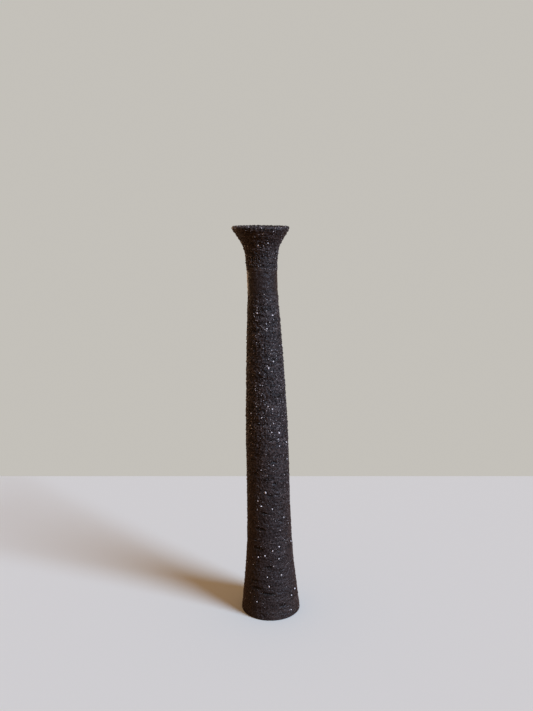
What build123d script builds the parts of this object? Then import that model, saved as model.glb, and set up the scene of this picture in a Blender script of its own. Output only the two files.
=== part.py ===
"""Tall stoneware bud vase, thrown in three sections that are luted together with slip.

The vase is hollow and slim: a closed foot section that flares to a flat base, a long
tapering shaft, and a narrow neck that opens into a flared mouth with a rounded lip.
Every piece is turned about one axis, which leans a little to one side, as a tall pot does
while it dries.  The base and the rim are cut level.

Millimetres, +Z up.  The origin is the centre of the flat base.
"""

import os

from build123d import *

# ---- driving dimensions ----------------------------------------------------------------
HEIGHT = 320.0  # base to the top of the lip
LEAN = 1.5  # degrees that the pot's axis leans from upright, towards -X

FOOT_RADIUS = 24.7  # where the outer face meets the base
FOOT_SLOPE = (-0.13, 1.0)  # direction of the outer face as it leaves the base
FOOT_BEVEL = 0.8
FLOOR_THICKNESS = 7.0
FLOOR_RADIUS = 17.8  # inner radius at the floor, before its corner is rounded
FLOOR_CORNER = 5.0

# Outer and inner faces of the thrown wall below the throat, as (radius, height) points.
OUTER_WALL = [(21.1, 32), (18.6, 64), (17.4, 128), (15.7, 192), (12.9, 246), (11.75, 271)]
INNER_WALL = [(16.3, 32), (13.9, 64), (12.9, 128), (11.3, 192), (8.7, 246), (7.7, 271)]

THROAT_HEIGHT = 290.0  # where the neck starts to flare
THROAT_OUTER_RADIUS = 12.1
THROAT_INNER_RADIUS = 8.0
FLARE_OUTER_ARC = 43.9  # radius of the flare's outer face, seen from the side
FLARE_INNER_ARC = 44.5
LIP_OUTER_ROUND = 1.4
LIP_INNER_ROUND = 1.6

FOOT_JOINT = (18.5, 66.0)  # outside edge of the joint of foot section and shaft
NECK_JOINT = (12.0, 287.0)  # outside edge of the joint of shaft and neck
JOINT_SLOPE = 0.6  # how steeply a joint climbs towards the inside
SLIP_THICKNESS = 0.6  # the slip left in a joint, measured upright

GLAZE_THICKNESS = 0.4
GLAZE_TOP = 311.0  # the liner glaze stops short of the lip

TRIM = 2.0  # spare clay below the base, which the level cut takes off
FLARE_SWEEP = 52.0  # degrees of flare arc, enough to pass the level cut of the rim
CLEAR = 60.0  # well past the widest part of the vase


def level(height):
    """The level plane at a height, as it lies while the pot's axis is still upright."""
    return Plane.XY.rotated((0, LEAN, 0)).offset(height)


def joint_line(joint, rise):
    """Two points of a sloping joint, on the axis and outside the wall, lifted by rise."""
    radius, height = joint
    return [
        (0, height + radius * JOINT_SLOPE + rise),
        (CLEAR, height - (CLEAR - radius) * JOINT_SLOPE + rise),
    ]


def cavity_section(inset):
    """Half of the hollow inside, in the XY plane, made smaller all round by inset."""
    throat = Vector(THROAT_INNER_RADIUS - inset, THROAT_HEIGHT)
    floor_edge = (FLOOR_RADIUS - inset, FLOOR_THICKNESS + inset)
    with BuildSketch() as cavity:
        with BuildLine():
            Spline(
                floor_edge,
                *[(radius - inset, height) for radius, height in INNER_WALL],
                throat,
                tangents=(FOOT_SLOPE, (0, 1)),
            )
            flare = JernArc(throat, (0, 1), FLARE_INNER_ARC + inset, -FLARE_SWEEP)
            top = flare @ 1
            Polyline(top, (0, top.Y), (0, floor_edge[1]), floor_edge)
        make_face()
        corner = cavity.vertices().group_by(Axis.Y)[0].sort_by(Axis.X)[-1]
        fillet(corner, FLOOR_CORNER - inset)
    return cavity.sketch


def section_between(lower, upper):
    """The wall's section between two lines, on the XZ plane."""
    with BuildSketch(Plane.XZ) as section:
        add(wall.sketch_local)
        with BuildLine():
            Polyline(*lower, *reversed(upper), close=True)
        make_face(mode=Mode.INTERSECT)
    return section.sketch


def finish(part, label):
    """Lean a piece that was turned upright, label it and write it as its own STEP file."""
    leaning = part.rotate(Axis.Y, -LEAN)
    leaning.label = label
    export_step(leaning, f"parts/{label}.step")


# ---- the section through the wall, drawn once --------------------------------------------
foot_run = Vector(*FOOT_SLOPE) * TRIM
foot_start = Vector(FOOT_RADIUS, 0) - foot_run
throat_outside = Vector(THROAT_OUTER_RADIUS, THROAT_HEIGHT)

with BuildSketch() as wall:
    with BuildLine():
        Spline(foot_start, *OUTER_WALL, throat_outside, tangents=(FOOT_SLOPE, (0, 1)))
        outer_flare = JernArc(throat_outside, (0, 1), FLARE_OUTER_ARC, -FLARE_SWEEP)
        flare_top = outer_flare @ 1
        Polyline(flare_top, (0, flare_top.Y), (0, foot_start.Y), foot_start)
    make_face()
    add(cavity_section(0), mode=Mode.SUBTRACT)

half_slip = SLIP_THICKNESS / 2
below_foot_joint = joint_line(FOOT_JOINT, -half_slip)
above_foot_joint = joint_line(FOOT_JOINT, half_slip)
below_neck_joint = joint_line(NECK_JOINT, -half_slip)
above_neck_joint = joint_line(NECK_JOINT, half_slip)
under_base = [(0, -CLEAR), (CLEAR, -CLEAR)]
over_lip = [(0, HEIGHT + CLEAR), (CLEAR, HEIGHT + CLEAR)]

# ---- foot section: the closed base and the flaring lower wall ----------------------------
with BuildPart() as foot_section:
    revolve(section_between(under_base, below_foot_joint), axis=Axis.Z)
    split(bisect_by=level(0), keep=Keep.TOP)
    chamfer(foot_section.faces().sort_by(Axis.Z)[0].edges(), FOOT_BEVEL)

# ---- shaft: the long open tube -----------------------------------------------------------
with BuildPart() as shaft:
    revolve(section_between(above_foot_joint, below_neck_joint), axis=Axis.Z)

# ---- neck: the collar that opens into the flared mouth -----------------------------------
with BuildPart() as neck:
    revolve(section_between(above_neck_joint, over_lip), axis=Axis.Z)
    split(bisect_by=level(HEIGHT), keep=Keep.BOTTOM)
    rim = neck.faces().sort_by(Axis.Z)[-1]
    fillet(rim.outer_wire().edges(), LIP_OUTER_ROUND)
    rim = neck.faces().sort_by(Axis.Z)[-1]
    fillet(rim.inner_wires()[0].edges(), LIP_INNER_ROUND)

# ---- slip joints: the thin cones of slip that bond the sections --------------------------
with BuildPart() as foot_slip_joint:
    revolve(section_between(below_foot_joint, above_foot_joint), axis=Axis.Z)

with BuildPart() as neck_slip_joint:
    revolve(section_between(below_neck_joint, above_neck_joint), axis=Axis.Z)

# ---- liner glaze: the coat that makes the inside watertight ------------------------------
with BuildPart() as liner_glaze:
    with BuildSketch(Plane.XZ):
        add(cavity_section(0))
        add(cavity_section(GLAZE_THICKNESS), mode=Mode.SUBTRACT)
        with Locations((CLEAR / 2, GLAZE_TOP / 2)):
            Rectangle(CLEAR, GLAZE_TOP, mode=Mode.INTERSECT)
    revolve(axis=Axis.Z)

os.makedirs("parts", exist_ok=True)
finish(foot_section.part, "foot_section")
finish(shaft.part, "shaft")
finish(neck.part, "neck")
finish(foot_slip_joint.part, "foot_slip_joint")
finish(neck_slip_joint.part, "neck_slip_joint")
finish(liner_glaze.part, "liner_glaze")
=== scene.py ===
"""A tall bud vase of coarse dark stoneware, thrown in three sections and joined with slip."""

import math

import bpy
import numpy as np
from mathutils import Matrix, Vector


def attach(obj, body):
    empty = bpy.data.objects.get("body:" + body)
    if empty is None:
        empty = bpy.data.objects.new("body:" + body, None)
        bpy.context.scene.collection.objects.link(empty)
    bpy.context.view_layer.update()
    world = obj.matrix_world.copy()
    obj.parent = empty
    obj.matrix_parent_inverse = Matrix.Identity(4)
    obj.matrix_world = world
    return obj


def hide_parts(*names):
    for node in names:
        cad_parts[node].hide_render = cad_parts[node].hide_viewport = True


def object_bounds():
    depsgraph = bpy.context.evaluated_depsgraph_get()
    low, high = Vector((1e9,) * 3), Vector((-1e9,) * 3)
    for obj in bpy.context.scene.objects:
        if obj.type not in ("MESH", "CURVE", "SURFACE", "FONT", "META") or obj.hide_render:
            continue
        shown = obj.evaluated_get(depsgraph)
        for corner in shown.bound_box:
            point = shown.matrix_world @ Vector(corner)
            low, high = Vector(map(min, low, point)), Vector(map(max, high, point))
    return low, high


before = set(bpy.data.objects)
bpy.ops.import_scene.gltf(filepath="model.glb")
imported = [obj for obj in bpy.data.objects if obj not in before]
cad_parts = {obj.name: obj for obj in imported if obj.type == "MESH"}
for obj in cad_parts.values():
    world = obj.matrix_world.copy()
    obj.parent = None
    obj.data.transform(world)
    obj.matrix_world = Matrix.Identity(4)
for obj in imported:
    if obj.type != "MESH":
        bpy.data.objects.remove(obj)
cad_low, cad_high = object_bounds()

# ---------------------------------------------------------------------------------------
# FOOT SECTION
# The closed foot is thrown with its floor from dark stoneware with coarse grog in it, and
# is pulled up into the lower wall.  Ribbing closes its skin more than that of the shaft.
# ---------------------------------------------------------------------------------------

MM = 0.001
HEIGHT = cad_high.z / MM
FOOT_SEAM = (18.55, 66.0)  # radius and height of the seam's outside edge
SEAM_CLIMB = 0.6  # a seam climbs this much for each millimetre towards the axis
SLIP = 0.6  # height of the slip left in a seam

# The pot is turned about one axis, whose drift towards -X grows faster than its height.
DRIFT = 0.0178
DRIFT_GROWTH = 2.6e-5

# How rough the skin is at each height: (height, roughness).
SKIN = [
    (0, 0.45), (30, 0.5), (60, 0.5), (100, 0.65), (135, 0.8), (160, 1.0), (262, 1.0),
    (271, 0.35), (285, 0.3), (290, 1.0), (307, 1.0), (312, 0.75), (317, 0.9), (320, 1.1),
]

FOOT_OUTSIDE = [(24.55, 0.8), (23.5, 10), (22.5, 19), (21.1, 32), (19.6, 48), FOOT_SEAM]
FOOT_EDGE = (23.75, 0)  # outside edge of the ring that the pot stands on
FOOT_UNDER = [(0, 0.5), (12, 0.45), (18, 0.3), (21.2, 0.0)]
FOOT_INSIDE = [(13.85, 68.5), (14.5, 48), (16.3, 32), (17.1, 18), (17.5, 12.0)]
FOOT_FLOOR = [(17.5, 12.0), (16.3, 8.6), (12.8, 7.0), (0.0, 7.0)]


def seam_point(seam, radius, rise):
    """The point of a seam at a radius, lifted by rise."""
    return (radius, seam[1] + (seam[0] - radius) * SEAM_CLIMB + rise)


# Marks that dragged grog leaves in the skin: (height, turn, length, depth).
DRAG_MARKS = [
    (23, 263, 14, 1.2), (26, 238, 10, 1.1), (45, 266, 8, 1.0), (60, 241, 11, 1.2),
    (77, 247, 10, 1.1), (91, 258, 7, 1.0), (106, 274, 5, 0.8), (116, 289, 5, 0.8),
    (124, 234, 5, 0.7), (134, 287, 6, 1.1), (32, 232, 8, 0.8), (12, 296, 8, 0.6),
    (21, 81, 7, 0.6), (55, 64, 8, 0.6),
    (72, 118, 7, 0.6), (98, 91, 6, 0.5), (122, 47, 5, 0.6), (140, 104, 6, 0.7),
    (33, 182, 6, 0.5), (81, 161, 6, 0.5), (112, 12, 5, 0.6), (64, 3, 6, 0.5),
]
SMALL_MARKS = 420  # more short ones, strewn over the whole pot
MARK_HEIGHT = 0.9
MARK_SWAY = 0.35  # how far a mark strays up and down along its length
MARK_REACH = 2.0  # farther above or below than this, a mark cuts next to nothing
STONE_GAP = 0.4  # depth and width of the gap that shrinkage leaves round a coarse stone
STONE_REACH = 3.0
HAIR = 0.02  # the smallest step from one surface to the next

# Outside of the whole pot, for placing things on it: heights, then radii.
OUTLINE = (
    (0, 19, 32, 48, 66, 96, 128, 160, 192, 224, 250, 271, 290, 300, 306, 312, 318),
    (24.7, 22.5, 21.1, 19.6, 18.5, 17.7, 17.4, 16.8, 15.7, 14.2, 12.8, 11.7, 12.1, 13.1,
     15.0, 18.5, 22.2),
)

# The coarsest grog, where it breaks the skin: (height, turn, radius).
COARSE_GROG = [
    (6, 315, 0.8), (15, 240, 0.8), (18, 320, 0.9), (21, 336, 1.0), (29, 267, 0.9),
    (38, 297, 0.9), (37, 264, 0.8), (53, 239, 1.1), (59, 277, 1.0), (52, 292, 0.9),
    (55, 258, 0.8), (62, 295, 1.0), (62, 341, 1.0), (86, 313, 0.8), (95, 279, 0.8),
    (97, 250, 0.9), (101, 241, 0.9), (109, 262, 1.2), (132, 285, 0.8), (134, 338, 0.9),
    (147, 305, 0.9), (148, 336, 0.8), (153, 302, 0.8), (158, 306, 1.0), (159, 283, 0.9),
    (166, 289, 0.8), (171, 257, 0.8), (163, 218, 0.8), (180, 275, 0.8), (211, 281, 1.0),
    (208, 291, 0.8), (216, 298, 0.8), (242, 281, 0.8), (252, 304, 1.1), (254, 248, 0.8),
    (306, 262, 0.9), (308, 289, 0.7),
    (9, 40, 0.9), (14, 128, 0.8), (23, 95, 1.0), (27, 17, 0.8), (34, 155, 0.9),
    (41, 72, 1.1), (44, 201, 0.9), (50, 112, 0.8), (57, 30, 0.9), (63, 86, 1.0),
    (64, 171, 0.9), (78, 58, 0.8), (84, 139, 0.9), (92, 7, 0.8), (99, 103, 1.0),
    (107, 77, 0.8), (115, 188, 0.9), (121, 126, 1.1), (129, 44, 0.8), (138, 91, 0.9),
    (144, 160, 0.8), (151, 66, 1.0), (156, 119, 0.9), (161, 25, 0.8), (168, 98, 0.9),
    (176, 146, 0.8), (187, 52, 1.0), (195, 109, 0.8), (203, 83, 0.9), (213, 133, 0.8),
    (222, 61, 0.9), (233, 100, 0.8), (245, 124, 1.0), (257, 70, 0.8), (296, 92, 0.8),
    (305, 120, 0.9), (309, 55, 0.8), (301, 175, 0.8), (198, 195, 0.9), (227, 355, 0.8),
]


def all_marks():
    """The listed drag marks and the strewn ones, as one array."""
    rng = np.random.default_rng(7)
    strewn = np.column_stack(
        (
            rng.uniform(3, HEIGHT - 12, SMALL_MARKS),
            rng.uniform(0, 360, SMALL_MARKS),
            rng.uniform(1.2, 4.5, SMALL_MARKS),
            rng.uniform(0.12, 0.4, SMALL_MARKS),
        )
    )
    return np.concatenate((DRAG_MARKS, strewn))


def scored(places):
    """How deep drag marks and the gaps round stones cut at each place, in millimetres."""
    depth = np.zeros(len(places))
    x, y, z = places.T / MM
    x = x + z * DRIFT + z**2 * DRIFT_GROWTH
    radius, turn = np.hypot(x, y), np.arctan2(y, x)

    def beside(height, at, reach):
        """Which places are near a height, and how far round the pot from a turn each is."""
        near = np.flatnonzero(abs(z - height) < reach)
        aside = (turn[near] - math.radians(at) + np.pi) % (2 * np.pi) - np.pi
        return near, aside * radius[near]

    for height, at, length, deep in all_marks():
        near, aside = beside(height, at, MARK_REACH)
        along = aside / (length / 2)
        sway = MARK_SWAY * np.sin(along * 2.2 + height)  # no two marks stray alike
        across = (z[near] - height - sway) / MARK_HEIGHT
        ends = np.clip(1 - along**2, 0, 1)
        depth[near] = np.maximum(depth[near], deep * ends * np.exp(-(across**2)))
    for height, at, size in COARSE_GROG:
        near, aside = beside(height, at, STONE_REACH)
        away = np.hypot(aside, z[near] - height)
        from_edge = (away - 1.15 * size) / STONE_GAP
        gap = STONE_GAP * np.exp(-(from_edge**2))
        depth[near] = np.maximum(depth[near], gap)
    return depth


def smooth_line(points, step):
    """Evenly spaced points of a smooth curve through (radius, height) points."""
    points = np.array(points, float)
    run = np.append(0, np.cumsum(np.linalg.norm(np.diff(points, axis=0), axis=1)))
    at = np.linspace(0, run[-1], max(2, round(run[-1] / step) + 1))
    if len(points) == 2:
        return points[0] + (points[1] - points[0]) * (at / run[-1])[:, None]
    slope = np.gradient(points, run, axis=0)
    i = np.clip(np.searchsorted(run, at, side="right") - 1, 0, len(run) - 2)
    span = (run[i + 1] - run[i])[:, None]
    t = (at[:, None] - run[i][:, None]) / span
    return (
        (1 + 2 * t) * (1 - t) ** 2 * points[i]
        + t * (1 - t) ** 2 * span * slope[i]
        + t * t * (3 - 2 * t) * points[i + 1]
        + t * t * (t - 1) * span * slope[i + 1]
    )


def on_pot(radius, turn, height):
    """Places on the leaning pot, in metres, from millimetres and radians."""
    radius, turn, height = np.broadcast_arrays(radius, turn, height)
    drift = height * DRIFT + height**2 * DRIFT_GROWTH
    across = radius * np.cos(turn) - drift
    return np.stack((across, radius * np.sin(turn), height), axis=-1) * MM


def store(mesh, name, values):
    """Gives a mesh a number, or a vector, for each of its points."""
    values = np.asarray(values, np.float32)
    kind, field = ("FLOAT_VECTOR", "vector") if values.ndim == 2 else ("FLOAT", "value")
    mesh.attributes.new(name, kind, "POINT").data.foreach_set(field, values.ravel())


def new_object(name, data):
    """An object in the scene that shows some data."""
    made = bpy.data.objects.new(name, data)
    bpy.context.scene.collection.objects.link(made)
    return made


def turned_piece(name, stretches, columns, wander=None):
    """A closed mesh turned about the pot's axis.

    Its outline is stretches of (points, step, relief), with the clay on the left of the
    way that it runs.  Relief, a function of height, says how far the skin may be shaped.
    Wander, where it is given, changes radius and height from one turn to the next.
    """
    rows = []
    for points, step, relief in stretches:
        line = smooth_line(points, step)
        along = np.gradient(line, axis=0)
        along /= np.linalg.norm(along, axis=1)[:, None]
        out = np.column_stack((along[:, 1], -along[:, 0])) * relief(line[:, 1])[:, None]
        for place, push in zip(line, out):
            if rows and np.allclose(rows[-1][0], place):
                if np.linalg.norm(push) > np.linalg.norm(rows[-1][1]):
                    rows[-1] = (place, push)
            else:
                rows.append((place, push))
    ring = rows[0][0][0] > 0
    if ring:
        last = rows.pop()
        if np.linalg.norm(last[1]) > np.linalg.norm(rows[0][1]):
            rows[0] = last
    line = np.array([row[0] for row in rows])
    push = np.array([row[1] for row in rows])

    turn = np.linspace(0, 2 * np.pi, columns, endpoint=False)
    radius, height = np.repeat(line[:, :1], columns, 1), np.repeat(line[:, 1:], columns, 1)
    if wander:
        radius, height = wander(radius, height, turn)
    places = on_pot(radius, turn, height)
    pushes = np.stack(
        (
            push[:, :1] * np.cos(turn),
            push[:, :1] * np.sin(turn),
            np.repeat(push[:, 1:], columns, axis=1),
        ),
        axis=-1,
    )
    if ring:
        places, pushes = places.reshape(-1, 3), pushes.reshape(-1, 3)
        grid = np.arange(len(places)).reshape(-1, columns)
        grid = np.vstack((grid, grid[:1]))
    else:  # the first and last rows are poles, on the axis
        places = np.concatenate((places[0, :1], *places[1:-1], places[-1, :1]))
        pushes = np.concatenate((pushes[0, :1], *pushes[1:-1], pushes[-1, :1]))
        grid = np.arange(1, len(places) - 1).reshape(-1, columns)
    after = np.roll(grid, -1, axis=1)
    quads = np.stack((grid[:-1], after[:-1], after[1:], grid[1:]), axis=-1)
    faces = quads.reshape(-1, 4).tolist()
    if not ring:
        ends = zip(*(row.tolist() for row in (grid[0], after[0], grid[-1], after[-1])))
        for low, low_after, high, high_after in ends:
            faces += [(0, low_after, low), (high, high_after, len(places) - 1)]

    mesh = bpy.data.meshes.new(name)
    mesh.from_pydata(places.tolist(), [], faces)
    mesh.shade_smooth()
    store(mesh, "push", pushes)
    store(mesh, "skin", np.interp(places[:, 2] / MM, *zip(*SKIN)))
    store(mesh, "cut", scored(places))
    return new_object(name, mesh)


def full(height):
    """Relief of a wall that is shaped all over."""
    return np.ones_like(height)


def none(height):
    """Relief of a face that stays smooth."""
    return np.zeros_like(height)


def underneath(height):
    """Relief of the recess under the foot, which fades out at its ring."""
    return np.clip(height / 0.6, 0, 1) * 0.35


def above_base(height):
    """Relief of the foot's outside, which fades in above the edge that it stands on."""
    return np.clip((height - 0.8) / 2.5, 0, 1)


foot_top_in = seam_point(FOOT_SEAM, FOOT_INSIDE[0][0], -SLIP / 2)
foot_top_out = seam_point(FOOT_SEAM, FOOT_SEAM[0], -SLIP / 2)


def add_node(tree, kind, inputs=None, **settings):
    """A node, its settings, and its inputs, each a value or another node's output."""
    node = tree.nodes.new(kind)
    for name, value in settings.items():
        setattr(node, name, value)
    for key, value in (inputs or {}).items():
        if isinstance(value, bpy.types.NodeSocket):
            tree.links.new(value, node.inputs[key])
        else:
            node.inputs[key].default_value = value
    return node


def calc(tree, operation, *values, clamp=False):
    """The output of one Math node."""
    inputs = dict(enumerate(values))
    return add_node(
        tree, "ShaderNodeMath", inputs, operation=operation, use_clamp=clamp
    ).outputs[0]


def add_tree(name, kind, inputs, outputs):
    """A node tree with named sockets, and its input and output nodes."""
    tree = bpy.data.node_groups.new(name, kind)
    for way, sockets in (("INPUT", inputs), ("OUTPUT", outputs)):
        for label, (socket_kind, value) in sockets.items():
            socket = tree.interface.new_socket(
                label, in_out=way, socket_type="NodeSocket" + socket_kind
            )
            if value is not None:
                socket.default_value = value
    given = tree.nodes.new("NodeGroupInput").outputs
    result = tree.nodes.new("NodeGroupOutput").inputs
    return tree, given, result


def noise(tree, place, size, **inputs):
    """Noise from -1 to 1 whose lumps are about size metres across."""
    inputs = {"Vector": place, "Scale": calc(tree, "DIVIDE", 1.0, size), **inputs}
    fac = add_node(tree, "ShaderNodeTexNoise", inputs).outputs["Fac"]
    return calc(tree, "MULTIPLY_ADD", fac, 2.0, -1.0)


def scaled(tree, vector, scale):
    """A vector, or a colour, times a number."""
    return add_node(
        tree, "ShaderNodeVectorMath", {0: vector, "Scale": scale}, operation="SCALE"
    ).outputs[0]


def stretched(tree, place, along):
    """A place with its X and Y pressed together, which draws a pattern out round the pot."""
    inputs = {0: place, 1: (along, along, 1.0)}
    return add_node(tree, "ShaderNodeVectorMath", inputs, operation="MULTIPLY").outputs[0]


def cells(tree, place, size):
    """Round cells about size metres apart."""
    inputs = {"Vector": place, "Scale": calc(tree, "DIVIDE", 1.0, size)}
    return add_node(tree, "ShaderNodeTexVoronoi", inputs)


def lumps(tree, place, size, edge, middle):
    """A lump in each cell, from 0 at its edge to 1 in its middle, and its random number."""
    cell = cells(tree, place, size)
    height = add_node(
        tree,
        "ShaderNodeMapRange",
        {"Value": cell.outputs["Distance"], 1: edge, 2: middle, 3: 0.0, 4: 1.0},
        interpolation_type="SMOOTHSTEP",
    ).outputs[0]
    split = add_node(tree, "FunctionNodeSeparateColor", {"Color": cell.outputs["Color"]})
    return height, split.outputs[0]


def stored(tree, name, kind="FLOAT"):
    """What the points of a mesh carry under a name."""
    return add_node(
        tree, "GeometryNodeInputNamedAttribute", {"Name": name}, data_type=kind
    ).outputs[0]


def with_stored(tree, geometry, name, value, domain="POINT"):
    """Geometry whose points, or instances, also carry a value."""
    inputs = {"Geometry": geometry, "Name": name, "Value": value}
    return add_node(
        tree, "GeometryNodeStoreNamedAttribute", inputs, domain=domain
    ).outputs[0]


# Thrown clay: how far the skin of a wall stands out from the smooth form.
relief_tree, given, result = add_tree(
    "Thrown clay",
    "GeometryNodeTree",
    {
        "Geometry": ("Geometry", None),
        "Wobble depth": ("Float", 0.25 * MM),
        "Ring depth": ("Float", 0.35 * MM),
        "Ring height": ("Float", 6.5 * MM),
        "Streak depth": ("Float", 0.2 * MM),
        "Streak height": ("Float", 1.5 * MM),
        "Pimple depth": ("Float", 0.65 * MM),
        "Pimple size": ("Float", 1.9 * MM),
        "Grit depth": ("Float", 1.15 * MM),
        "Grit size": ("Float", 1.6 * MM),
        "Pit depth": ("Float", 0.7 * MM),
        "Pit size": ("Float", 2.3 * MM),
    },
    {"Geometry": ("Geometry", None)},
)
t = relief_tree
place = add_node(t, "GeometryNodeInputPosition").outputs[0]
skin = stored(t, "skin")

wobble = noise(t, place, 45 * MM, Detail=1.0)
rings = noise(t, stretched(t, place, 0.12), given["Ring height"], Detail=1.5)
streaks = noise(t, stretched(t, place, 0.15), given["Streak height"], Detail=2.0)
grit = noise(t, place, given["Grit size"], Detail=3.0, Roughness=0.6)
pimples, pimple_size = lumps(t, place, given["Pimple size"], 0.55, 0.1)
pimples = calc(t, "MULTIPLY", pimples, calc(t, "POWER", pimple_size, 1.5))
pits, pit_chance = lumps(t, place, given["Pit size"], 0.34, 0.14)
pits = calc(t, "MULTIPLY", pits, calc(t, "GREATER_THAN", pit_chance, 0.35))

turned = calc(t, "MULTIPLY", wobble, given["Wobble depth"])
turned = calc(t, "MULTIPLY_ADD", rings, given["Ring depth"], turned)
turned = calc(t, "MULTIPLY_ADD", streaks, given["Streak depth"], turned)
rough = calc(t, "MULTIPLY", grit, given["Grit depth"])
rough = calc(t, "MULTIPLY_ADD", pimples, given["Pimple depth"], rough)
rough = calc(t, "SUBTRACT", rough, calc(t, "MULTIPLY", pits, given["Pit depth"]))
rise = calc(t, "MULTIPLY_ADD", rough, skin, turned)
rise = calc(t, "SUBTRACT", rise, calc(t, "MULTIPLY", stored(t, "cut"), MM))
moved = add_node(
    t,
    "GeometryNodeSetPosition",
    {
        "Geometry": given["Geometry"],
        "Offset": scaled(t, stored(t, "push", "FLOAT_VECTOR"), rise),
    },
).outputs[0]
# The clay's colour goes by the skin's height above the turned form, in millimetres: painted
# shade in hollows, wear on high spots.
above_turned = calc(t, "DIVIDE", calc(t, "SUBTRACT", rise, turned), MM)
t.links.new(with_stored(t, moved, "rise", above_turned), result["Geometry"])


def as_mesh(piece, name):
    """A piece with its modifiers applied, as a plain mesh object with a new name."""
    depsgraph = bpy.context.evaluated_depsgraph_get()
    mesh = bpy.data.meshes.new_from_object(
        piece.evaluated_get(depsgraph), preserve_all_data_layers=True, depsgraph=depsgraph
    )
    old = piece.data
    bpy.data.objects.remove(piece)
    bpy.data.meshes.remove(old)
    mesh.name = name
    return new_object(name, mesh)


def run_tree(piece, tree, name, **inputs):
    """The mesh that a Geometry Nodes tree makes of a piece, with these inputs set."""
    modifier = piece.modifiers.new(tree.name, "NODES")
    modifier.node_group = tree
    sockets = {
        item.name: item.identifier
        for item in tree.interface.items_tree
        if item.in_out == "INPUT"
    }
    for label, value in inputs.items():
        modifier[sockets[label.replace("_", " ")]] = value
    bpy.context.view_layer.update()
    return as_mesh(piece, name)


def random_float(tree, low, high, seed):
    """A random number for each element, between low and high."""
    inputs = {2: low, 3: high, "Seed": seed}
    return add_node(tree, "FunctionNodeRandomValue", inputs, data_type="FLOAT").outputs[1]


# Crushed grog: a few angular stones of about unit radius, to be picked from at random.
STONE_SHAPES = 6
FULL_TURN = 6.283  # radians
stones_tree, given, result = add_tree(
    "Crushed stones",
    "GeometryNodeTree",
    {"Corners": ("Int", 11)},
    {"Stones": ("Geometry", None)},
)
t = stones_tree
all_stones = t.nodes.new("GeometryNodeJoinGeometry")
for shape in range(STONE_SHAPES):
    way = add_node(
        t,
        "FunctionNodeRandomValue",
        {0: (-1.0, -1.0, -1.0), 1: (1.0, 1.0, 1.0), "Seed": shape * 3 + 1},
        data_type="FLOAT_VECTOR",
    ).outputs[0]
    way = add_node(t, "ShaderNodeVectorMath", {0: way}, operation="NORMALIZE").outputs[0]
    way = add_node(
        t, "ShaderNodeVectorMath", {0: way, 1: (1.0, 0.85, 0.7)}, operation="MULTIPLY"
    ).outputs[0]
    corners = add_node(
        t, "GeometryNodePoints", {"Count": given["Corners"], "Position": way}
    ).outputs[0]
    stone = add_node(t, "GeometryNodeConvexHull", {"Geometry": corners}).outputs[0]
    stone = add_node(t, "GeometryNodeGeometryToInstance", {"Geometry": stone}).outputs[0]
    t.links.new(stone, all_stones.inputs[0])
t.links.new(all_stones.outputs[0], result["Stones"])


def stones_on(tree, points, corners, size, material, darkest=0.0):
    """Real stones, turned and toned at random, at the points that are given."""
    crushed = add_node(
        tree, "GeometryNodeGroup", {"Corners": corners}, node_tree=stones_tree
    ).outputs[0]
    pick = add_node(
        tree,
        "FunctionNodeRandomValue",
        {4: 0, 5: STONE_SHAPES - 1, "Seed": 5},
        data_type="INT",
    ).outputs[2]
    rolled = add_node(
        tree,
        "FunctionNodeRandomValue",
        {0: (0.0, 0.0, 0.0), 1: (FULL_TURN, FULL_TURN, FULL_TURN), "Seed": 6},
        data_type="FLOAT_VECTOR",
    ).outputs[0]
    placed = add_node(
        tree,
        "GeometryNodeInstanceOnPoints",
        {
            "Points": points,
            "Instance": crushed,
            "Pick Instance": True,
            "Instance Index": pick,
            "Rotation": rolled,
            "Scale": size,
        },
    ).outputs[0]
    tone = random_float(tree, darkest, 1.0, 9)
    toned = with_stored(tree, placed, "tone", tone, "INSTANCE")
    real = add_node(tree, "GeometryNodeRealizeInstances", {"Geometry": toned}).outputs[0]
    return add_node(
        tree, "GeometryNodeSetMaterial", {"Geometry": real, "Material": material}
    ).outputs[0]


# Grog in a wall: stones strewn over its skin, most of each one sunk in the clay.
grog_tree, given, result = add_tree(
    "Grog in a wall",
    "GeometryNodeTree",
    {
        "Geometry": ("Geometry", None),
        "Stones per area": ("Float", 60000.0),
        "Smallest": ("Float", 0.12 * MM),
        "Largest": ("Float", 0.4 * MM),
        "Fineness": ("Float", 3.0),
        "Showing": ("Float", 0.45),
        "Corners": ("Int", 9),
        "Seed": ("Int", 1),
        "Material": ("Material", None),
    },
    {"Geometry": ("Geometry", None)},
)
t = grog_tree
push = stored(t, "push", "FLOAT_VECTOR")
shaped = add_node(t, "ShaderNodeVectorMath", {0: push}, operation="LENGTH").outputs[1]
density = calc(t, "MULTIPLY", stored(t, "grog"), given["Stones per area"])
density = calc(t, "MULTIPLY", density, shaped)
strewn = add_node(
    t,
    "GeometryNodeDistributePointsOnFaces",
    {"Mesh": given["Geometry"], "Density": density, "Seed": given["Seed"]},
    distribute_method="RANDOM",
)
luck = calc(t, "POWER", random_float(t, 0.0, 1.0, 11), given["Fineness"])
spread = calc(t, "SUBTRACT", given["Largest"], given["Smallest"])
size = calc(t, "MULTIPLY_ADD", luck, spread, given["Smallest"])
sunk = calc(t, "MULTIPLY", calc(t, "SUBTRACT", given["Showing"], 1.0), size)
down = scaled(t, strewn.outputs["Normal"], sunk)
sized = with_stored(t, strewn.outputs["Points"], "size", size)
lowered = add_node(
    t, "GeometryNodeSetPosition", {"Geometry": sized, "Offset": down}
).outputs[0]
stones = stones_on(t, lowered, given["Corners"], stored(t, "size"), given["Material"])
t.links.new(stones, result["Geometry"])

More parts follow.
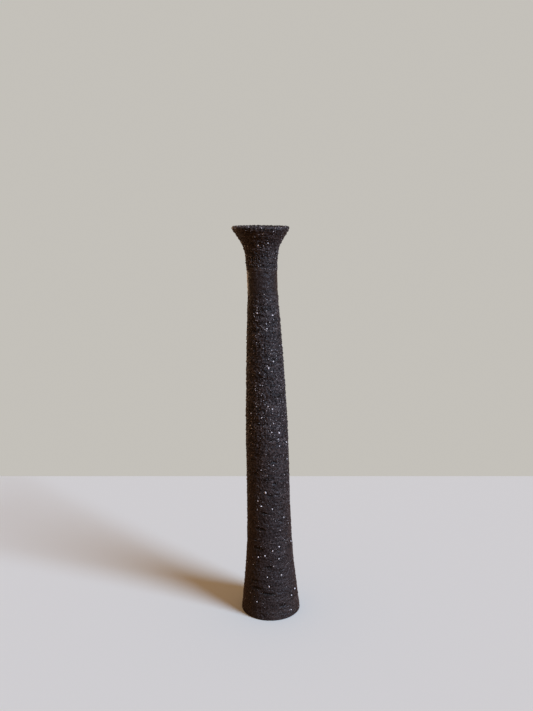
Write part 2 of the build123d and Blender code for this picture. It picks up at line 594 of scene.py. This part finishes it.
# Coarse grog: one stone at each point of a list, moved to the skin of the wall there.
placed_tree, given, result = add_tree(
    "Coarse grog",
    "GeometryNodeTree",
    {
        "Geometry": ("Geometry", None),
        "Wall": ("Object", None),
        "Showing": ("Float", 0.68),
        "Corners": ("Int", 16),
        "Material": ("Material", None),
    },
    {"Geometry": ("Geometry", None)},
)
t = placed_tree
wall_mesh = add_node(t, "GeometryNodeObjectInfo", {"Object": given["Wall"]}).outputs["Geometry"]
normal = add_node(t, "GeometryNodeInputNormal").outputs[0]
faced = add_node(
    t,
    "GeometryNodeSampleNearestSurface",
    {"Mesh": wall_mesh, "Value": normal},
    data_type="FLOAT_VECTOR",
)
near = add_node(t, "GeometryNodeProximity", {0: wall_mesh}, target_element="FACES")
size = stored(t, "size")
sunk = calc(t, "MULTIPLY", calc(t, "SUBTRACT", given["Showing"], 1.0), size)
down = scaled(t, faced.outputs[0], sunk)
points = add_node(t, "GeometryNodeMeshToPoints", {"Mesh": given["Geometry"]}).outputs[0]
on_skin = add_node(
    t,
    "GeometryNodeSetPosition",
    {"Geometry": points, "Position": near.outputs["Position"], "Offset": down},
).outputs[0]
stones = stones_on(t, on_skin, given["Corners"], size, given["Material"], darkest=0.5)
t.links.new(stones, result["Geometry"])

# Clay body: dark iron clay, browner in some patches than in others, streaked by throwing.
clay_group, given, result = add_tree(
    "Clay body",
    "ShaderNodeTree",
    {
        "Charcoal": ("Color", (0.034, 0.029, 0.030, 1)),
        "Brown": ("Color", (0.043, 0.032, 0.028, 1)),
        "Patch size": ("Float", 28 * MM),
        "Streak height": ("Float", 2.2 * MM),
        "Mottle size": ("Float", 1.2 * MM),
        "Mottle": ("Float", 3.4),
    },
    {"Color": ("Color", None)},
)
t = clay_group
place = add_node(t, "ShaderNodeTexCoord").outputs["Object"]
patches = noise(t, place, given["Patch size"], Detail=3.0)
patches = calc(t, "MULTIPLY_ADD", patches, 0.9, 0.5, clamp=True)
body = add_node(
    t,
    "ShaderNodeMix",
    {0: patches, 6: given["Charcoal"], 7: given["Brown"]},
    data_type="RGBA",
).outputs[2]
streaks = noise(t, stretched(t, place, 0.12), given["Streak height"], Detail=2.0)
mottle = noise(t, place, given["Mottle size"], Detail=2.0, Roughness=0.5)
shade = calc(t, "ADD", calc(t, "MULTIPLY", streaks, 0.4), mottle)
shade = calc(t, "MULTIPLY_ADD", shade, given["Mottle"], 1.0)
shade = calc(t, "MAXIMUM", shade, 0.12)
t.links.new(scaled(t, body, shade), result["Color"])

# Fine grog: specks too small to stand out.  Larger and dark, they serve as painted shadow in
# open pores.
specks_group, given, result = add_tree(
    "Fine grog",
    "ShaderNodeTree",
    {
        "Spacing": ("Float", 1.1 * MM),
        "Share": ("Float", 0.4),
        "Size": ("Float", 0.2),
        "Seed": ("Float", 0.0),
    },
    {"Mask": ("Float", None), "Tone": ("Float", None)},
)
t = specks_group
place = add_node(t, "ShaderNodeTexCoord").outputs["Object"]
place = add_node(
    t, "ShaderNodeVectorMath", {0: place, 1: given["Seed"]}, operation="ADD"
).outputs[0]
cell = cells(t, place, given["Spacing"])
draw = add_node(t, "ShaderNodeSeparateColor", {"Color": cell.outputs["Color"]})
speck_size = calc(t, "MULTIPLY", given["Size"], draw.outputs[2])
edge = calc(t, "SUBTRACT", speck_size, cell.outputs["Distance"])
speck = calc(t, "MULTIPLY_ADD", edge, 14.0, 0.5, clamp=True)
chosen = calc(t, "LESS_THAN", draw.outputs[0], given["Share"])
t.links.new(calc(t, "MULTIPLY", speck, chosen), result["Mask"])
t.links.new(draw.outputs[1], result["Tone"])

# Clay grain: the fine bite of unglazed clay, as a height from 0 to 1.
grain_group, given, result = add_tree(
    "Clay grain",
    "ShaderNodeTree",
    {"Size": ("Float", 1.0 * MM), "Bite": ("Float", 0.65)},
    {"Height": ("Float", None)},
)
t = grain_group
place = add_node(t, "ShaderNodeTexCoord").outputs["Object"]
sand = noise(t, place, given["Size"], Detail=5.0, Roughness=given["Bite"])
t.links.new(calc(t, "MULTIPLY_ADD", sand, 0.5, 0.5), result["Height"])


def new_material(name, **inputs):
    """A material with some inputs of its Principled BSDF set: it, its tree and that node."""
    material = bpy.data.materials.new(name)
    material.use_nodes = True
    shader = material.node_tree.nodes["Principled BSDF"]
    for label, value in inputs.items():
        shader.inputs[label.replace("_", " ")].default_value = value
    return material, material.node_tree, shader


def mixed(tree, factor, first, second):
    """The colour that one Mix node gives."""
    inputs = {0: factor, 6: first, 7: second}
    return add_node(tree, "ShaderNodeMix", inputs, data_type="RGBA").outputs[2]


def group(tree, node_tree, **inputs):
    """A placed node group with its inputs set."""
    inputs = {name.replace("_", " "): value for name, value in inputs.items()}
    return add_node(tree, "ShaderNodeGroup", inputs, node_tree=node_tree)


def bumped(tree, shader, height, distance, strength=1.0):
    """Gives the skin of a material the small relief of a height."""
    inputs = {"Height": height, "Distance": distance, "Strength": strength}
    bump = add_node(tree, "ShaderNodeBump", inputs)
    tree.links.new(bump.outputs[0], shader.inputs["Normal"])


def attribute(tree, name):
    """A number that the mesh carries for each of its points."""
    return add_node(tree, "ShaderNodeAttribute", attribute_name=name).outputs["Fac"]


# Painted shade: the near-black that the clay turns to deep in the hollows of its rough skin.
PAINTED_HOLLOW_SHADE = (0.005, 0.004, 0.0035, 1)  # deep in the rough skin
WORN_CLAY = (0.11, 0.095, 0.088, 1)  # on its high spots
DARK_SPECK, PALE_SPECK = (0.12, 0.10, 0.09, 1), (0.46, 0.43, 0.40, 1)
# Painted shadow: the near-black of the open pores.
PAINTED_PORE_SHADOW = (0.004, 0.003, 0.003, 1)

stoneware, t, shader = new_material(
    "Rough dark stoneware", Diffuse_Roughness=1.0, Specular_IOR_Level=0.26
)
rise, skin = attribute(t, "rise"), attribute(t, "skin")
body = group(t, clay_group, Mottle=calc(t, "MULTIPLY_ADD", skin, 3.0, 0.6))
# Painted shade: the clay darkens towards near-black where its skin sinks below the turned form.
hollow_shade = calc(t, "MULTIPLY_ADD", rise, -2.4, 0.0, clamp=True)
hollow_shade = calc(t, "MULTIPLY", hollow_shade, 0.92)
clay = mixed(t, hollow_shade, body.outputs["Color"], PAINTED_HOLLOW_SHADE)
worn = calc(t, "MULTIPLY_ADD", rise, 2.0, -0.25, clamp=True)
clay = mixed(t, calc(t, "MULTIPLY", worn, 0.5), clay, WORN_CLAY)
dots = group(t, specks_group)
tone = mixed(t, dots.outputs["Tone"], DARK_SPECK, PALE_SPECK)
clay = mixed(t, dots.outputs["Mask"], clay, tone)
# Painted shadow: dark specks laid on the clay where its open pores are, stronger where the skin
# is rough.
pore_shadows = group(t, specks_group, Spacing=1.5 * MM, Share=0.9, Size=0.5, Seed=0.03)
depth = calc(t, "MULTIPLY_ADD", skin, 0.62, 0.3)
pore_shadow_mask = calc(t, "MULTIPLY", pore_shadows.outputs["Mask"], depth)
clay = mixed(t, pore_shadow_mask, clay, PAINTED_PORE_SHADOW)
t.links.new(clay, shader.inputs["Base Color"])
dull = calc(t, "MULTIPLY_ADD", skin, 0.26, 0.26)
t.links.new(dull, shader.inputs["Roughness"])
bumped(t, shader, group(t, grain_group).outputs["Height"], 0.5 * MM)

grog_material, t, shader = new_material("Pale crushed grog", Roughness=0.75)
ramp = add_node(t, "ShaderNodeValToRGB", {"Fac": attribute(t, "tone")})
ramp.color_ramp.elements[0].color = (0.24, 0.21, 0.19, 1)
ramp.color_ramp.elements[1].color = (0.93, 0.92, 0.91, 1)
ramp.color_ramp.elements.new(0.4).color = (0.66, 0.63, 0.60, 1)
t.links.new(ramp.outputs["Color"], shader.inputs["Base Color"])
bumped(t, shader, group(t, grain_group, Size=0.3 * MM).outputs["Height"], 0.1 * MM, 0.6)

# How much of the grog shows as separate stones at each height: (height, share).
GROG = [
    (0, 0.18), (30, 0.2), (60, 0.22), (100, 0.3), (140, 0.5), (165, 0.9), (225, 1.0),
    (262, 0.9), (271, 0.1), (285, 0.08), (289, 1.0), (306, 1.0), (310, 0.5), (316, 0.45),
    (318, 0.9), (321, 1.0),
]

# The strewn sorts: (name, stones per square metre, smallest and largest radius in
# millimetres, corners, fineness).  The greater its fineness, the fewer stones are large.
GROG_SORTS = (
    ("fine", 0.36e6, 0.17, 0.42, 7, 1.5),
    ("medium", 0.11e6, 0.40, 0.92, 10, 2.2),
)


def add_grog(wall, name, seed):
    """The stones that show in a wall's skin, as pieces of their own."""
    heights = np.array([v.co.z for v in wall.data.vertices]) / MM
    share = np.interp(heights, *zip(*GROG))
    store(wall.data, "grog", share)
    for i, (sort, per_area, smallest, largest, corners, fineness) in enumerate(GROG_SORTS):
        piece = run_tree(
            new_object("bed", wall.data.copy()),
            grog_tree,
            f"{name}_{sort}_grog",
            Stones_per_area=per_area,
            Smallest=smallest * MM,
            Largest=largest * MM,
            Corners=corners,
            Fineness=fineness,
            Seed=seed + i,
            Material=grog_material,
        )
        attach(piece, "root")


def add_coarse_grog(wall, name):
    """The coarsest stones of one wall, where the list puts them."""
    heights = [v.co.z / MM for v in wall.data.vertices]
    own = np.array([g for g in COARSE_GROG if min(heights) < g[0] < max(heights)])
    radius = np.interp(own[:, 0], *OUTLINE)
    places = on_pot(radius, np.radians(own[:, 1]), own[:, 0])
    mesh = bpy.data.meshes.new(name)
    mesh.from_pydata(places.tolist(), [], [])
    store(mesh, "size", own[:, 2] * MM)
    piece = run_tree(
        new_object("bed", mesh),
        placed_tree,
        f"{name}_coarse_grog",
        Wall=wall,
        Material=grog_material,
    )
    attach(piece, "root")


def finish_wall(smooth, name, node):
    """Shapes a smooth wall's skin, gives it its clay, and puts it in its node's place."""
    wall = run_tree(smooth, relief_tree, name)
    wall.data.materials.append(stoneware)
    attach(wall, "root")
    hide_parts(node)
    return wall


foot_section = turned_piece(
    "foot_section_clay",
    [
        (FOOT_UNDER, 0.8, underneath),
        ([FOOT_UNDER[-1], FOOT_EDGE], 1.3, none),
        ([FOOT_EDGE, FOOT_OUTSIDE[0]], 0.5, none),
        ([*FOOT_OUTSIDE[:-1], foot_top_out], 0.48, above_base),
        ([foot_top_out, foot_top_in], 1.5, none),
        ([foot_top_in, *FOOT_INSIDE[1:]], 2.0, none),
        (FOOT_FLOOR[:3], 1.2, none),
        (FOOT_FLOOR[2:], 4.0, none),
    ],
    columns=288,
)
foot_section = finish_wall(foot_section, "foot_section_clay", "foot_section")
add_grog(foot_section, "foot", 21)
add_coarse_grog(foot_section, "foot")

# ---------------------------------------------------------------------------------------
# SHAFT
# The long tube is thrown without a floor and tapers towards the neck.  Its clay is left
# as the fingers leave it, so the grog breaks the skin most in its upper half.
# ---------------------------------------------------------------------------------------

NECK_SEAM = (11.98, 287.0)
SHAFT_OUTSIDE = [
    FOOT_SEAM, (17.7, 96), (17.4, 128), (16.85, 160), (15.7, 192), (14.2, 224),
    (12.8, 250), (12.05, 262), (11.85, 271), NECK_SEAM,
]
SHAFT_INSIDE = [
    (7.85, 290), (7.7, 271), (8.7, 246), (11.3, 192), (12.9, 128), FOOT_INSIDE[0],
]
shaft_low_out = seam_point(FOOT_SEAM, FOOT_SEAM[0], SLIP / 2)
shaft_low_in = seam_point(FOOT_SEAM, FOOT_INSIDE[0][0], SLIP / 2)
shaft_top_out = seam_point(NECK_SEAM, NECK_SEAM[0], -SLIP / 2)
shaft_top_in = seam_point(NECK_SEAM, SHAFT_INSIDE[0][0], -SLIP / 2)
shaft = turned_piece(
    "shaft_clay",
    [
        ([shaft_low_out, *SHAFT_OUTSIDE[1:-1], shaft_top_out], 0.55, full),
        ([shaft_top_out, shaft_top_in], 1.5, none),
        ([shaft_top_in, *SHAFT_INSIDE[1:-1], shaft_low_in], 6.0, none),
        ([shaft_low_in, shaft_low_out], 1.5, none),
    ],
    columns=208,
)
shaft = finish_wall(shaft, "shaft_clay", "shaft")
add_grog(shaft, "shaft", 31)
add_coarse_grog(shaft, "shaft")

# ---------------------------------------------------------------------------------------
# NECK
# The neck is thrown last, of the same clay, and its mouth is laid open into a flared rim.
# The rim's crown is left rough, and the clay shows inside it down to the glaze.
# ---------------------------------------------------------------------------------------

NECK_OUTSIDE = [
    NECK_SEAM, (12.3, 294), (13.1, 300), (13.9, 303.5), (15.2, 307), (16.9, 310),
    (18.8, 312.9), (20.5, 315.4), (21.6, 317.0), (22.15, 318.1),
]
LIP = [
    NECK_OUTSIDE[-1], (22.3, 319.0), (21.8, 319.9), (20.8, 320.3), (19.6, 320.0),
    (18.6, 319.1),
]
NECK_INSIDE = [
    LIP[-1], (15.7, 315), (12.76, 310), (10.6, 305), (9.14, 300), (8.1, 293), (7.85, 290),
]
neck_low_out = seam_point(NECK_SEAM, NECK_SEAM[0], SLIP / 2)
neck_low_in = seam_point(NECK_SEAM, NECK_INSIDE[-1][0], SLIP / 2)


def open_mouth(height):
    """Relief of the neck's inside, which fades in as the mouth opens."""
    return np.clip((height - 304) / 7, 0, 1)


neck = turned_piece(
    "neck_clay",
    [
        ([neck_low_out, *NECK_OUTSIDE[1:]], 0.42, full),
        (LIP, 0.42, full),
        ([*NECK_INSIDE[:-1], neck_low_in], 0.5, open_mouth),
        ([neck_low_in, neck_low_out], 1.2, none),
    ],
    columns=256,
)
neck = finish_wall(neck, "neck_clay", "neck")
add_grog(neck, "neck", 41)
add_coarse_grog(neck, "neck")

# ---------------------------------------------------------------------------------------
# SLIP JOINTS
# The scored edges of two sections are joined with a ring of wet clay slip, squeezed out a
# little and wiped over while the pot still turns.  It fires a shade browner than the wall.
# ---------------------------------------------------------------------------------------

slip_material, t, shader = new_material(
    "Joining slip", Roughness=0.9, Specular_IOR_Level=0.3
)
clay = group(
    t,
    clay_group,
    Charcoal=(0.044, 0.037, 0.035, 1),
    Brown=(0.060, 0.046, 0.040, 1),
    Streak_height=0.7 * MM,
).outputs["Color"]
dots = group(t, specks_group, Spacing=0.8 * MM, Share=0.5)
tone = mixed(t, dots.outputs["Tone"], (0.12, 0.10, 0.08, 1), (0.50, 0.46, 0.40, 1))
t.links.new(mixed(t, dots.outputs["Mask"], clay, tone), shader.inputs["Base Color"])
bumped(t, shader, group(t, grain_group, Size=0.5 * MM).outputs["Height"], 0.15 * MM)

# How far each ring swells, and how far it is smeared over the clay above and below it.
for name, seam, inside, bead, smear in (
    ("foot_slip_joint", FOOT_SEAM, FOOT_INSIDE[0][0], 0.04, 0.4),
    ("neck_slip_joint", NECK_SEAM, NECK_INSIDE[-1][0], 0.14, 0.35),
):
    low_out = seam_point(seam, seam[0], -SLIP / 2)
    top_out = seam_point(seam, seam[0], SLIP / 2)
    low_in = seam_point(seam, inside, -SLIP / 2)
    top_in = seam_point(seam, inside, SLIP / 2)
    under = (seam[0] - HAIR, low_out[1] - smear)
    over = (seam[0] - HAIR, top_out[1] + smear)
    ring = turned_piece(
        name + "_slip",
        [
            ([low_out, under], 0.2, full),
            ([under, (seam[0] + bead, seam[1]), over], 0.2, full),
            ([over, top_out], 0.2, full),
            ([top_out, top_in], 1.0, none),
            ([top_in, low_in], 0.3, none),
            ([low_in, low_out], 1.0, none),
        ],
        columns=256,
    )
    ring = run_tree(ring, relief_tree, name + "_slip")
    ring.data.materials.append(slip_material)
    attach(ring, "root")
    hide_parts(name)

# ---------------------------------------------------------------------------------------
# LINER GLAZE
# A thin coat of dark brown glaze is poured in, swilled round and poured out, to make the
# inside hold water.  It stops below the rim in an edge that runs up and down.
# ---------------------------------------------------------------------------------------

GLAZE = 0.4  # thickness of the coat
GLAZE_UNDER = [(12.8, 7.02), (16.3, 8.6), (17.48, 12.0)]
GLAZE_OVER = [(17.1, 12.4), (16.0, 9.0), (12.6, 7.5)]
GLAZE_TOP = 311.0
GLAZE_FREE = 296.0  # below this height the coat is even
# Waves in its edge: (how many round the pot, start in radians, size).
GLAZE_WAVES = ((3, 0.7, 0.55), (7, 0, 0.3), (17, 0, 0.15))
inner_outline = np.concatenate(
    (
        smooth_line([*reversed(FOOT_INSIDE)], 1.0)[:-1],
        smooth_line([*reversed(SHAFT_INSIDE)], 1.0)[:-1],
        smooth_line([*reversed(NECK_INSIDE)], 0.5),
    )
)


def inside_radius(height):
    """Radius of the inside of the pot at a height."""
    return np.interp(height, inner_outline[:, 1], inner_outline[:, 0])


def along_wall(inset, low, high, step):
    """Points up the inside of the pot, inset from its wall."""
    heights = np.arange(low, high, step)
    return [(inside_radius(h) - inset, h) for h in heights] + [
        (inside_radius(high) - inset, high)
    ]


def wandering_edge(radius, height, turn):
    """Lets the top of the coat run up and down along the wall, as poured glaze does."""
    inset = inside_radius(height) - radius
    edge = sum(size * np.sin(count * turn + start) for count, start, size in GLAZE_WAVES)
    share = np.clip((height - GLAZE_FREE) / (GLAZE_TOP - GLAZE_FREE), 0, 1.05)
    height = height + share**2 * edge
    return np.where(radius > 0, inside_radius(height) - inset, 0), height


glaze_edge = [
    (inside_radius(GLAZE_TOP) - HAIR, GLAZE_TOP),
    (inside_radius(GLAZE_TOP) - 0.45, GLAZE_TOP + 0.1),
    (inside_radius(GLAZE_TOP - 0.8) - GLAZE - 0.12, GLAZE_TOP - 0.7),
]
glaze = turned_piece(
    "liner_glaze_coat",
    [
        ([(0, GLAZE_UNDER[0][1]), GLAZE_UNDER[0]], 4.0, none),
        (GLAZE_UNDER, 1.5, none),
        (along_wall(HAIR, GLAZE_UNDER[-1][1], GLAZE_TOP, 6.0), 4.0, none),
        (glaze_edge, 0.2, none),
        (along_wall(GLAZE, GLAZE_OVER[0][1], GLAZE_TOP - 0.8, 6.0)[::-1], 2.0, none),
        (GLAZE_OVER, 1.5, none),
        ([GLAZE_OVER[-1], (0, GLAZE_OVER[-1][1])], 4.0, none),
    ],
    columns=160,
    wander=wandering_edge,
)
glaze_material, t, shader = new_material("Dark liner glaze")
place = add_node(t, "ShaderNodeTexCoord").outputs["Object"]
runs = calc(t, "MULTIPLY_ADD", noise(t, place, 5 * MM, Detail=3.0), 0.9, 0.5, clamp=True)
glass = mixed(t, runs, (0.016, 0.010, 0.007, 1), (0.055, 0.030, 0.017, 1))
t.links.new(glass, shader.inputs["Base Color"])
pooled = calc(t, "MULTIPLY_ADD", noise(t, place, 2 * MM, Detail=2.0), 0.08, 0.2)
t.links.new(pooled, shader.inputs["Roughness"])
bumped(t, shader, noise(t, place, 1.6 * MM, Detail=2.0), 0.12 * MM, 0.5)
glaze.data.materials.append(glaze_material)
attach(glaze, "root")
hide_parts("liner_glaze")

# ---------------------------------------------------------------------------------------
# LIGHT, FLOOR AND CAMERA
# The vase stands on a plain pale floor.  A cool window light comes from the right, and
# the room's own light is warm, so the side away from the window is brown.
# ---------------------------------------------------------------------------------------

FLOOR = 1.5  # how far the floor reaches to each side and to the front, in metres
FLOOR_BACK = 0.32  # where it ends behind the vase
floor_mesh = bpy.data.meshes.new("floor")
floor_mesh.from_pydata(
    [(-FLOOR, -FLOOR, 0), (FLOOR, -FLOOR, 0), (FLOOR, FLOOR_BACK, 0), (-FLOOR, FLOOR_BACK, 0)],
    [],
    [(0, 1, 2, 3)],
)
floor = new_object("floor", floor_mesh)
# The floor is pale, but the light that it throws back on the clay is dim and warm.
floor_material, t, shader = new_material(
    "Pale plaster floor", Roughness=0.9, Specular_IOR_Level=0.15
)
seen = add_node(t, "ShaderNodeLightPath").outputs["Is Camera Ray"]
pale = mixed(t, seen, (0.28, 0.12, 0.04, 1), (0.83, 0.85, 0.76, 1))
t.links.new(pale, shader.inputs["Base Color"])
floor_mesh.materials.append(floor_material)

# The room's warm light reaches the vase, but what is seen beyond the floor is a grey wall.
world = bpy.data.worlds.new("Room")
world.use_nodes = True
bpy.context.scene.world = world
t = world.node_tree
sky = t.nodes["Background"]
sky.inputs["Color"].default_value = (1.0, 0.62, 0.38, 1)
sky.inputs["Strength"].default_value = 0.35
wall_tone = add_node(t, "ShaderNodeBackground", {"Color": (0.55, 0.53, 0.49, 1)})
seen = add_node(t, "ShaderNodeLightPath").outputs["Is Camera Ray"]
both = add_node(
    t, "ShaderNodeMixShader", {0: seen, 1: sky.outputs[0], 2: wall_tone.outputs[0]}
)
t.links.new(both.outputs[0], t.nodes["World Output"].inputs["Surface"])


def place_light(light, azimuth, elevation, distance):
    """Puts a light beside the vase, aimed at its middle, where it isn't seen itself."""
    lamp = new_object(light.name, light)
    a, e = math.radians(azimuth), math.radians(elevation)
    away = (math.sin(a) * math.cos(e), -math.cos(a) * math.cos(e), math.sin(e))
    lamp.location = [distance * c for c in away]
    lamp.location.z += HEIGHT / 2 * MM
    lamp.rotation_euler = (math.pi / 2 - e, 0, a)
    lamp.visible_camera = False
    return lamp


window = bpy.data.lights.new("window", "SUN")
window.angle = math.radians(24)
window.energy = 4.2
window.color = (0.58, 0.72, 1.0)
place_light(window, azimuth=56, elevation=32, distance=2.0)

lit_wall = bpy.data.lights.new("lit wall", "AREA")
lit_wall.shape = "RECTANGLE"
lit_wall.size, lit_wall.size_y = 1.5, 1.0
lit_wall.energy = 12
lit_wall.color = (1.0, 0.64, 0.38)
glow = place_light(lit_wall, azimuth=202, elevation=10, distance=1.8)

# The lit wall's glow reaches the vase and passes over the floor.
passed_over = bpy.data.collections.new("passed over")
passed_over.objects.link(floor)
passed_over.collection_objects[0].light_linking.link_state = "EXCLUDE"
glow.light_linking.receiver_collection = passed_over

camera_data = bpy.data.cameras.new("camera")
camera_data.lens = 39.5
camera = new_object("camera", camera_data)
camera.location = (-0.0037, -0.612, 0.3398)
camera.rotation_euler = (math.radians(90 - 11.24), 0, 0)
bpy.context.scene.camera = camera
bpy.context.scene.view_settings.view_transform = "Standard"
